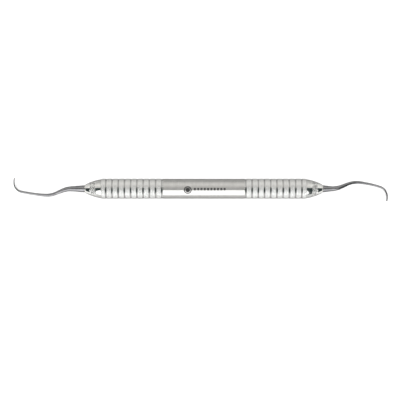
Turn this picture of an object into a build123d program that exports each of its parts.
from build123d import *
from math import cos, radians, sin
import os

# A double-ended hand scaler: a hollow round handle with a ringed grip on each side of a
# smooth barrel, a turned nose at each end, and a bent shank with a small curved blade
# fixed in each nose.
#
# Lengths are millimetres. +X runs along the handle towards the right-hand tip, +Y lies in
# the plane of the main bends, and +Z points up from the surface that the instrument lies
# on. The origin is on that surface, under the middle of the handle. The two ends are a
# mirror-image pair: the left one is the right one turned through a point on the axis, with
# bends of its own.

# Driving dimensions of the handle
CREST_DIAMETER = 9.5
BARREL_DIAMETER = 9.3
GRIP_BORE = 7.2
BARREL_BORE = 8.1
GROOVE_COUNT = 10
GROOVE_PITCH = 2.95
GROOVE_DEPTH = 0.35
GROOVE_WIDTH = 1.0
FIRST_GROOVE_X = 19.9
GRIP_END_X = 48.7
GRIP_SPIGOT = 6.0
EDGE_CHAMFER = 0.2
SEAM_CHAMFER = 0.1

# Driving dimensions of the noses
NOSE_BASE_DIAMETER = 8.95
NOSE_MIDDLE = (52.67, 3.61)
NOSE_RIM_START = (56.25, 2.08)
NOSE_END_X = 56.4
NOSE_MOUTH_DIAMETER = 3.9
NOSE_SPIGOT = 4.5

# Driving dimensions of the tips
TANG_DIAMETER = 2.8
TANG_LENGTH = 10.5
TANG_CHAMFER = 0.3
ROOT_DIAMETER = 3.25
BLADE_WIDTH = 0.86
TOE_WIDTH = 0.60
FACE_TILT = 12.0
FACE_RUN_OUT = 0.06
FACE_OVERSHOOT = 0.8
FACE_CUT_WIDTH = 1.6
FACE_POINTS = 9
LEAN = -1.8
STATION_SPACING = 0.8
SOLDER_FILLET = 0.27
SOLDER_HOLLOW = 0.32

# Driving dimensions of the bends. Along its centre line a tip is a row of stretches: collar,
# straight root, rise, climb, crown, shoulder, terminal shank, heel and blade. A heading is
# the angle in degrees between the line and the handle's axis.
COLLAR_LENGTH = 0.5
RISE_LENGTH = 4.75
CLIMB_LENGTH = 3.5
CROWN_LENGTH = 5.0
SHOULDER_LENGTH = 3.5
HEEL_LENGTH = 4.75
BLADE_LENGTH = 3.5
CLIMB_HEADING = 22.5
CROWN_HEADING = -4.5
SHOULDER_SHARE = 1 / 3
TOE_HEADING = -105.0
BLADE_TURN = -28.0
RIGHT_ROOT_LENGTH = 4.0
LEFT_ROOT_LENGTH = 6.0
RIGHT_TERMINAL_LENGTH = 7.5
LEFT_TERMINAL_LENGTH = 7.75
RIGHT_TERMINAL_HEADING = -18.0
LEFT_TERMINAL_HEADING = -12.0
THICKNESSES = (ROOT_DIAMETER, 2.35, 1.85, 1.45, 1.35, 1.1, 0.95, 0.6, 0.4)
LEAN_STRETCH = 3
HEEL_STRETCH = 7

# Worked out from the driving dimensions
AXIS_HEIGHT = CREST_DIAMETER / 2
CREST_RADIUS = CREST_DIAMETER / 2
BARREL_END_X = FIRST_GROOVE_X - GROOVE_WIDTH / 2
NOSE_MOUTH_RADIUS = NOSE_MOUTH_DIAMETER / 2
HANDLE_PLANE = Plane.XY.offset(AXIS_HEIGHT)
HANDLE_AXIS = Axis((0, 0, AXIS_HEIGHT), (1, 0, 0))


def cross_plane(x):
    """The plane square to the handle's axis at x."""
    return Plane(origin=(x, 0, AXIS_HEIGHT), x_dir=(0, 1, 0), z_dir=(1, 0, 0))


def sided(side, points):
    """Points of a half profile, moved to the left end when side is -1."""
    return [(side * x, radius) for x, radius in points]


def build_barrel():
    """Smooth tube between the grips, with its sharp ends broken."""
    with BuildPart() as barrel:
        with BuildSketch(cross_plane(0)):
            Circle(BARREL_DIAMETER / 2)
            Circle(BARREL_BORE / 2, mode=Mode.SUBTRACT)
        extrude(amount=BARREL_END_X, both=True)
        rims = barrel.edges().filter_by(GeomType.CIRCLE).group_by(SortBy.RADIUS)[-1]
        chamfer(rims, SEAM_CHAMFER)
    return barrel


def build_grip(side):
    """Sleeve with V-shaped rings cut in it, whose spigot stands in the barrel."""
    bore = GRIP_BORE / 2
    outline = [
        (BARREL_END_X - GRIP_SPIGOT, bore),
        (BARREL_END_X - GRIP_SPIGOT, BARREL_BORE / 2),
        (BARREL_END_X, BARREL_BORE / 2),
        (BARREL_END_X, CREST_RADIUS),
    ]
    for i in range(GROOVE_COUNT):
        groove_x = FIRST_GROOVE_X + GROOVE_PITCH * i
        outline.append((groove_x, CREST_RADIUS - GROOVE_DEPTH))
        outline.append((groove_x + GROOVE_WIDTH / 2, CREST_RADIUS))
        outline.append((groove_x + GROOVE_PITCH - GROOVE_WIDTH / 2, CREST_RADIUS))
    outline[-1] = (GRIP_END_X - EDGE_CHAMFER, CREST_RADIUS)
    outline.append((GRIP_END_X, CREST_RADIUS - EDGE_CHAMFER))
    outline.append((GRIP_END_X, bore))
    with BuildPart() as grip:
        with BuildSketch(HANDLE_PLANE):
            with BuildLine():
                Polyline(*sided(side, outline), close=True)
            make_face()
        revolve(axis=HANDLE_AXIS)
    return grip


def build_nose(side):
    """Turned nose: a spigot in the grip, a rounded cone, and a bore for the tang."""
    bore = TANG_DIAMETER / 2
    spigot = GRIP_BORE / 2
    base = NOSE_BASE_DIAMETER / 2
    back = [
        NOSE_RIM_START,
        (NOSE_END_X, NOSE_MOUTH_RADIUS),
        (NOSE_END_X, bore),
        (GRIP_END_X - NOSE_SPIGOT, bore),
        (GRIP_END_X - NOSE_SPIGOT, spigot),
        (GRIP_END_X, spigot),
        (GRIP_END_X, base),
    ]
    flank = [(GRIP_END_X, base), NOSE_MIDDLE, NOSE_RIM_START]
    with BuildPart() as nose:
        with BuildSketch(HANDLE_PLANE):
            with BuildLine():
                ThreePointArc(*sided(side, flank))
                Polyline(*sided(side, back))
            make_face()
        revolve(axis=HANDLE_AXIS)
    return nose


def build_solder_ring(side):
    """Hollow fillet of solder that closes the corner between a nose and its shank."""
    root = ROOT_DIAMETER / 2
    corner = (NOSE_END_X, root)
    foot = (NOSE_END_X, root + SOLDER_FILLET)
    toe = (NOSE_END_X + SOLDER_FILLET, root)
    hollow = SOLDER_FILLET * SOLDER_HOLLOW
    waist = (NOSE_END_X + hollow, root + hollow)
    with BuildPart() as ring:
        with BuildSketch(HANDLE_PLANE):
            with BuildLine():
                ThreePointArc(*sided(side, [foot, waist, toe]))
                Polyline(*sided(side, [toe, corner, foot]))
            make_face()
        revolve(axis=HANDLE_AXIS)
    return ring


def smooth_step(share):
    """0 below 0, 1 above 1, and an even S between them."""
    share = min(max(share, 0.0), 1.0)
    return share * share * (3 - 2 * share)


def tip_bends(root_length, terminal_length, terminal_heading):
    """Length, turn in degrees, and thickness at the far end of each stretch of a tip.

    The shoulder makes its share of the turn from the crown to the terminal shank.
    """
    lengths = (
        COLLAR_LENGTH,
        root_length,
        RISE_LENGTH,
        CLIMB_LENGTH,
        CROWN_LENGTH,
        SHOULDER_LENGTH,
        terminal_length,
        HEEL_LENGTH,
        BLADE_LENGTH,
    )
    shoulder_turn = (terminal_heading - CROWN_HEADING) * SHOULDER_SHARE
    headings = (
        0.0,
        0.0,
        0.0,
        CLIMB_HEADING,
        CLIMB_HEADING,
        CROWN_HEADING,
        CROWN_HEADING + shoulder_turn,
        terminal_heading,
        TOE_HEADING - BLADE_TURN,
        TOE_HEADING,
    )
    turns = [end - start for start, end in zip(headings, headings[1:])]
    return tuple(zip(lengths, turns, THICKNESSES))


def stretch_starts(bends):
    """Distance along the centre line at which each stretch starts, and the full length."""
    starts = [0.0]
    for length, _, _ in bends:
        starts.append(starts[-1] + length)
    return starts


def centre_line(bends, distance):
    """Point, heading and thickness at a distance along a tip's centre line.

    A stretch of length L that turns by T is an arc of radius L / T, or a line where T is
    0. The thickness runs evenly from one end of a stretch to the other.
    """
    x, y, heading, thickness = 0.0, 0.0, 0.0, ROOT_DIAMETER
    left = distance
    for length, turn, end_thickness in bends:
        run = min(left, length)
        angle = radians(turn) * run / length
        chord = run if turn == 0 else 2 * sin(angle / 2) * run / angle if angle else 0.0
        x += chord * cos(heading + angle / 2)
        y += chord * sin(heading + angle / 2)
        heading += angle
        thickness += (end_thickness - thickness) * run / length
        left -= run
        if left <= 0:
            break
    return x, y, heading, thickness


def lean_at(bends, distance):
    """Height of a tip's centre line over the handle's axis, gained from climb to heel.

    The left tip is turned through a point on the axis, so there it is a depth.
    """
    starts = stretch_starts(bends)
    low, high = starts[LEAN_STRETCH], starts[HEEL_STRETCH]
    return LEAN * smooth_step((distance - low) / (high - low))


def section_radius(bends, distance):
    """Radius of a round cross-section: it follows the thickness along the shank, turns
    over the heel into half the blade's width, and narrows from there to the toe."""
    starts = stretch_starts(bends)
    heel, blade, total = starts[HEEL_STRETCH], starts[-2], starts[-1]
    thickness = centre_line(bends, distance)[3]
    narrowing = max(0.0, (distance - blade) / (total - blade))
    blade_width = BLADE_WIDTH + (TOE_WIDTH - BLADE_WIDTH) * narrowing
    share = smooth_step((distance - heel) / (blade - heel))
    return (thickness + (blade_width - thickness) * share) / 2


def station_plane(side, bends, distance):
    """Plane square to a tip at a distance, centred in its round cross-section.

    The section stands further into the hook than the centre line, so that its back still
    lies half the thickness outside that line.
    """
    step = 0.01
    x, y, heading, thickness = centre_line(bends, distance)
    slope = (lean_at(bends, distance + step) - lean_at(bends, distance - step)) / (2 * step)
    along = Vector(cos(heading), sin(heading), slope).normalized()
    outward = Vector(0, 0, 1).cross(along).normalized()
    point = Vector(NOSE_END_X + x, y, lean_at(bends, distance))
    point += outward * (thickness / 2 - section_radius(bends, distance))
    origin = Vector(0, 0, AXIS_HEIGHT) + point * side
    return Plane(origin=origin, x_dir=outward * side, z_dir=along * side)


def face_line(side, bends, inset):
    """Points along the inside of the hook, seen from above, from the heel past the toe.

    They stand half the thickness inside the centre line, and inset further in. At the
    heel they keep clear of the shank, so that the face runs out gently.
    """
    starts = stretch_starts(bends)
    heel, blade, total = starts[HEEL_STRETCH], starts[-2], starts[-1]
    points = []
    for i in range(FACE_POINTS):
        distance = heel + (total - heel) * i / (FACE_POINTS - 1)
        x, y, heading, thickness = centre_line(bends, distance)
        run_out = FACE_RUN_OUT * (1 - smooth_step((distance - heel) / (blade - heel)))
        depth = thickness / 2 + run_out + inset
        points.append((NOSE_END_X + x + depth * sin(heading), y - depth * cos(heading)))
    x, y = points[-1]
    points.append((x + FACE_OVERSHOOT * cos(heading), y + FACE_OVERSHOOT * sin(heading)))
    return [(side * x, side * y) for x, y in points]


def build_tip(side, bends):
    """Tang, round tapered shank and half-round blade with a flat face, in one piece."""
    starts = stretch_starts(bends)
    toe_centre = starts[-1] - TOE_WIDTH / 2
    run = toe_centre - COLLAR_LENGTH
    count = round(run / STATION_SPACING)
    stations = [COLLAR_LENGTH + run * i / count for i in range(count + 1)]
    blade_height = AXIS_HEIGHT + side * LEAN
    face_tilt = (sin(radians(FACE_TILT)), 0, cos(radians(FACE_TILT)))
    with BuildPart() as tip:
        for distance in stations:
            with BuildSketch(station_plane(side, bends, distance)):
                Circle(section_radius(bends, distance))
        loft()
        with Locations(station_plane(side, bends, toe_centre)):
            Sphere(section_radius(bends, toe_centre))
        with BuildSketch(Plane.XY.offset(blade_height)):
            with BuildLine():
                face = Spline(*face_line(side, bends, 0))
                back = face_line(side, bends, FACE_CUT_WIDTH)
                Polyline(face @ 1, back[-1], back[0], face @ 0)
            make_face()
        extrude(amount=FACE_CUT_WIDTH, dir=face_tilt, both=True, mode=Mode.SUBTRACT)
        with BuildSketch(cross_plane(side * NOSE_END_X)):
            Circle(ROOT_DIAMETER / 2)
        extrude(amount=side * COLLAR_LENGTH)
        with BuildSketch(cross_plane(side * NOSE_END_X)):
            Circle(TANG_DIAMETER / 2)
        extrude(amount=-side * TANG_LENGTH)
        tang_end = tip.edges().filter_by(GeomType.CIRCLE).sort_by(Axis.X)
        chamfer(tang_end[0 if side > 0 else -1], TANG_CHAMFER)
    return tip


def save(name, piece):
    """Label a finished piece and write it to its own STEP file."""
    piece.part.label = name
    export_step(piece.part, f"parts/{name}.step")


os.makedirs("parts", exist_ok=True)
right_bends = tip_bends(RIGHT_ROOT_LENGTH, RIGHT_TERMINAL_LENGTH, RIGHT_TERMINAL_HEADING)
left_bends = tip_bends(LEFT_ROOT_LENGTH, LEFT_TERMINAL_LENGTH, LEFT_TERMINAL_HEADING)
save("centre_barrel", build_barrel())
for side_name, side, bends in (("right", 1, right_bends), ("left", -1, left_bends)):
    save(f"{side_name}_grip", build_grip(side))
    save(f"{side_name}_nose_cone", build_nose(side))
    save(f"{side_name}_solder_ring", build_solder_ring(side))
    save(f"{side_name}_tip", build_tip(side, bends))
